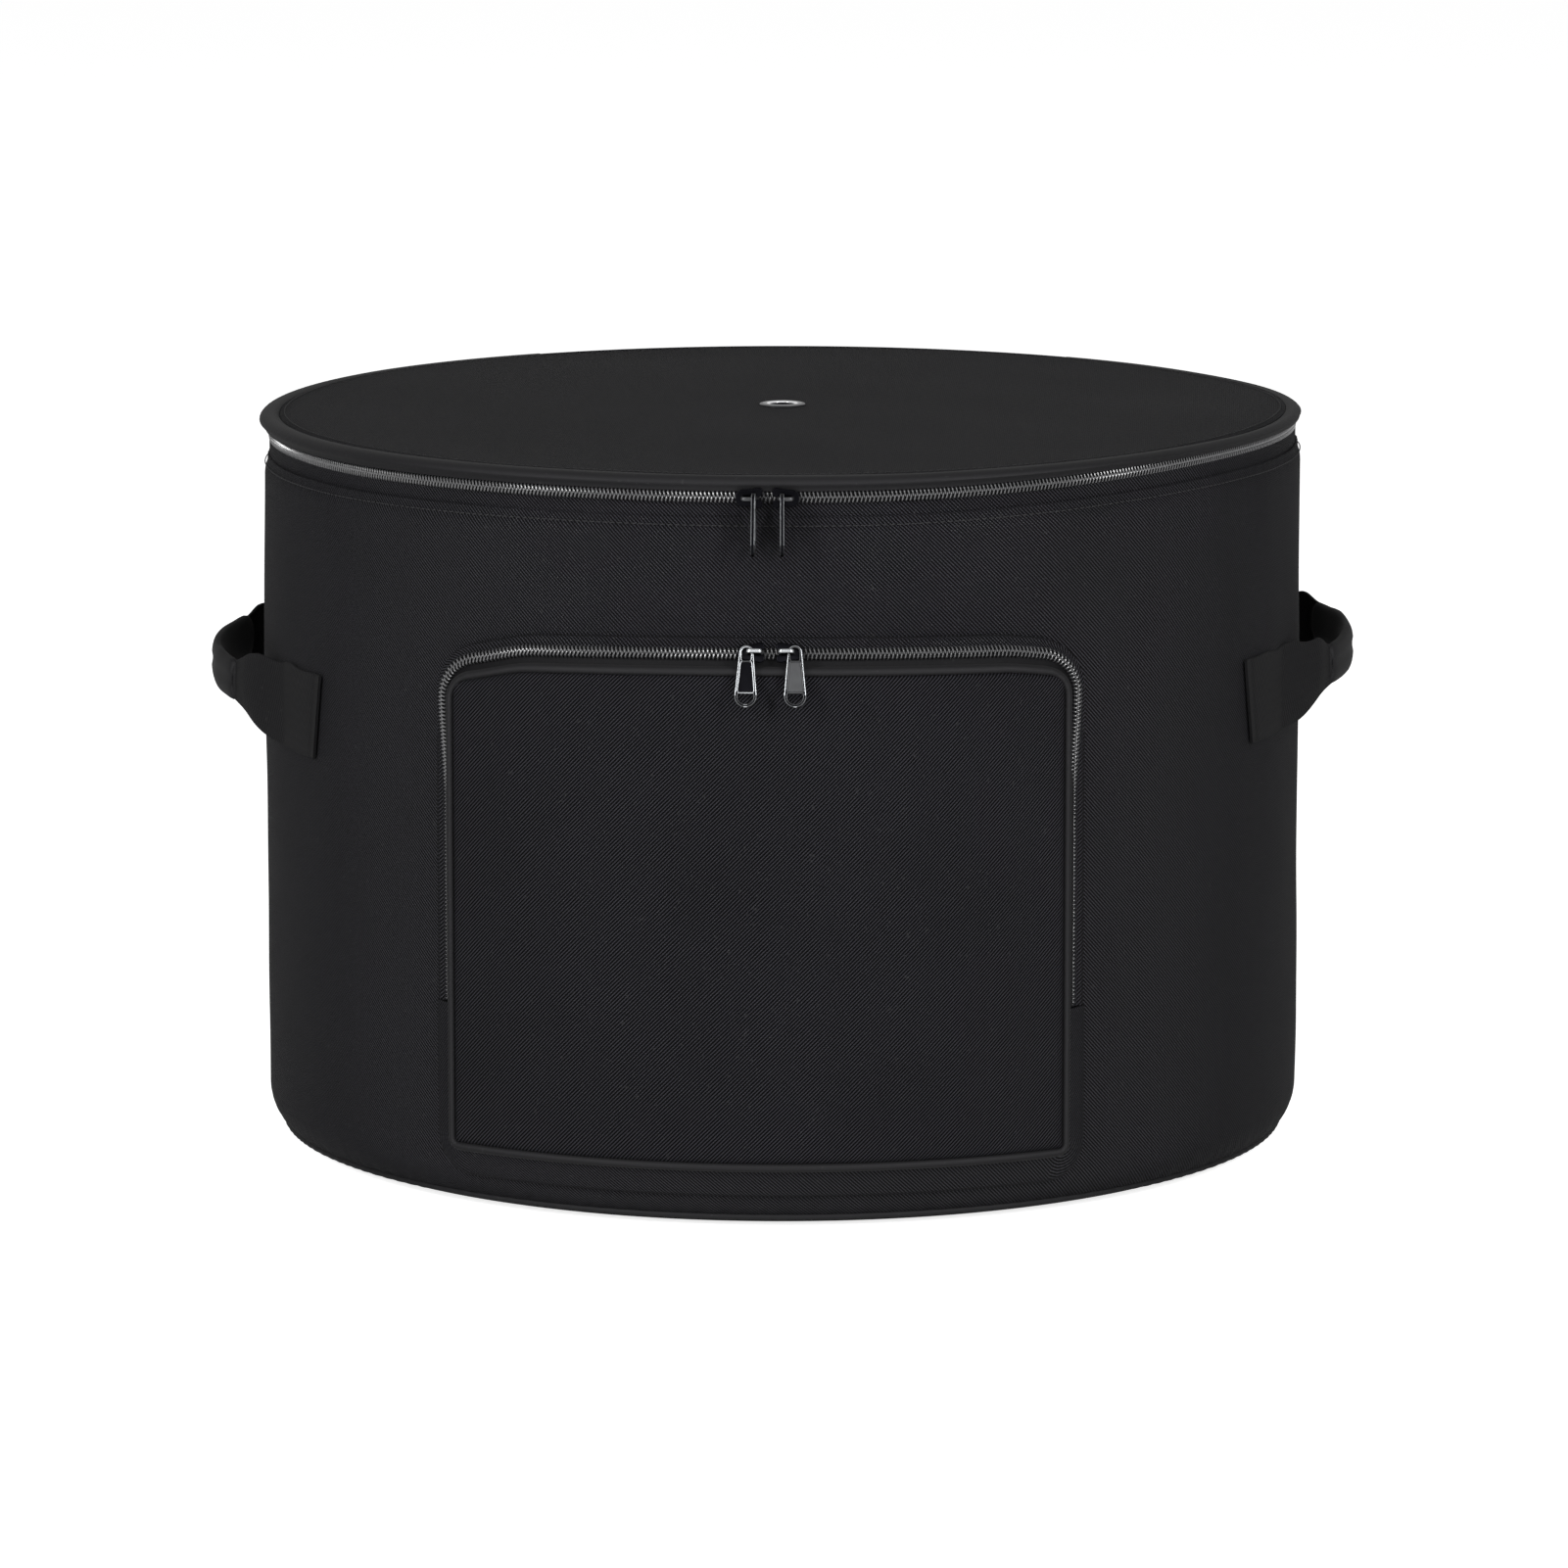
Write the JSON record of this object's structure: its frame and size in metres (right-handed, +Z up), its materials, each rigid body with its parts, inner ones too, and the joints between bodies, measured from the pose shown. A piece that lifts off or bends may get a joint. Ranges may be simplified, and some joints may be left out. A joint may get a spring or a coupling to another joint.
{
  "type": "hose storage bag",
  "caption": "Round cloth storage bag for a coiled hose, with a zipped lid, a zipped pocket on the front and a webbing handle on each side.",
  "frame": {"origin": "centre of the flat base, on the surface that the bag stands on", "axes": "+Z up, the pocket on the front towards -Y, +X towards the right handle"},
  "size_m": [0.5558, 0.52, 0.3523],
  "materials": {
    "cloth": "matt twill",
    "coating": "smooth coated",
    "tape": "woven",
    "teeth": "satin",
    "webbing": "ribbed webbing",
    "gunmetal": "plated",
    "nickel": "polished"
  },
  "bodies": {
    "shell": {"wall_front": "cloth", "wall_back": "cloth", "base_panel": "cloth", "base_welt": "tape", "base_binding": "coating", "back_binding_left": "coating", "back_binding_right": "coating", "zip_tape_wall": "tape", "zip_coil_wall": "teeth", "handle_left": "webbing", "handle_right": "webbing", "pocket_pouch": "cloth", "pocket_gusset": "cloth", "pocket_pouch_welt": "cloth", "pocket_tape_wall": "tape", "pocket_coil_wall": "teeth"},
    "lid": {"lid_panel": "cloth", "lid_rim": "cloth", "lid_back_strip": "cloth", "lid_binding": "coating", "zip_tape_lid": "tape", "zip_coil_lid": "teeth", "eyelet": "nickel", "eyelet_washer": "nickel"},
    "lid_slider_left": {"lid_slider_left": "gunmetal"},
    "lid_slider_right": {"lid_slider_right": "gunmetal"},
    "lid_pull_left": {"lid_pull_left": "gunmetal"},
    "lid_pull_right": {"lid_pull_right": "gunmetal"},
    "pocket_flap": {"pocket_flap": "cloth", "pocket_flap_welt": "cloth", "pocket_tape_flap": "tape", "pocket_coil_flap": "teeth"},
    "pocket_slider_left": {"pocket_slider_left": "gunmetal"},
    "pocket_slider_right": {"pocket_slider_right": "gunmetal"},
    "pocket_pull_left": {"pocket_pull_left": "gunmetal"},
    "pocket_pull_right": {"pocket_pull_right": "gunmetal"}
  },
  "joints": [
    {"name": "lid_hinge", "type": "hinge", "parent": "shell", "child": "lid", "pos_m": [0, 0.25, 0.35], "axis": [-1, 0, 0], "range_deg": [0, 210]},
    {"name": "lid_slider_left_run", "type": "hinge", "parent": "shell", "child": "lid_slider_left", "pos_m": [0, 0, 0.3405], "axis": [0, 0, 1], "range_deg": [-137, 0]},
    {"name": "lid_slider_right_run", "type": "hinge", "parent": "shell", "child": "lid_slider_right", "pos_m": [0, 0, 0.3405], "axis": [0, 0, 1], "range_deg": [0, 137]},
    {"name": "lid_pull_left_swing", "type": "hinge", "parent": "lid_slider_left", "child": "lid_pull_left", "pos_m": [-0.00524, -0.25505, 0.3405], "axis": [-0.9998, 0.0205, 0], "range_deg": [0, 120]},
    {"name": "lid_pull_right_swing", "type": "hinge", "parent": "lid_slider_right", "child": "lid_pull_right", "pos_m": [0.01414, -0.25471, 0.3405], "axis": [-0.9985, -0.0554, 0], "range_deg": [0, 120]},
    {"name": "pocket_fold", "type": "hinge", "parent": "shell", "child": "pocket_flap", "pos_m": [0, -0.2615, 0.098], "axis": [1, 0, 0], "range_deg": [0, 120]},
    {"name": "pocket_slider_left_run", "type": "hinge", "parent": "pocket_flap", "child": "pocket_slider_left", "pos_m": [0, 0, 0.271], "axis": [0, 0, 1], "range_deg": [-27, 0]},
    {"name": "pocket_slider_right_run", "type": "hinge", "parent": "pocket_flap", "child": "pocket_slider_right", "pos_m": [0, 0, 0.271], "axis": [0, 0, 1], "range_deg": [0, 25]},
    {"name": "pocket_pull_left_swing", "type": "hinge", "parent": "pocket_slider_left", "child": "pocket_pull_left", "pos_m": [-0.00457, -0.25934, 0.27328], "axis": [-0.0051, -0.9272, 0.3746], "range_deg": [-30, 30]},
    {"name": "pocket_pull_right_swing", "type": "hinge", "parent": "pocket_slider_right", "child": "pocket_pull_right", "pos_m": [0.01768, -0.25878, 0.27328], "axis": [0.052, -0.9257, 0.3746], "range_deg": [-30, 30]}
  ]
}
